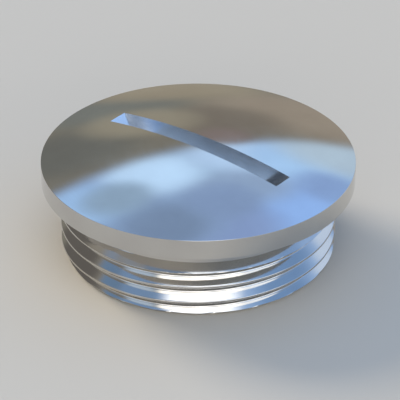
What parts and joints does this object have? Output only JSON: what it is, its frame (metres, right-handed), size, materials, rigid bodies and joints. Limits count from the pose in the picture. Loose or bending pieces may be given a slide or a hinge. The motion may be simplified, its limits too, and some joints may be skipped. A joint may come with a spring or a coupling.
{
  "type": "threaded blanking plug",
  "caption": "Turned metal blanking plug with a low domed round head, a straight slot, a short rounded right-hand thread and a hollow underside; it closes a threaded entry.",
  "frame": {"origin": "on the axis, in the plane of the ring-shaped seat under the head", "axes": "+Z along the axis out of the domed head, +X along the slot, +Y across it"},
  "size_m": [0.0254, 0.0254, 0.0096],
  "materials": {
    "nickel": "satin-bright nickel plate over turned brass, with fine turning marks"
  },
  "bodies": {
    "root": {"plug": "nickel"}
  },
  "joints": []
}
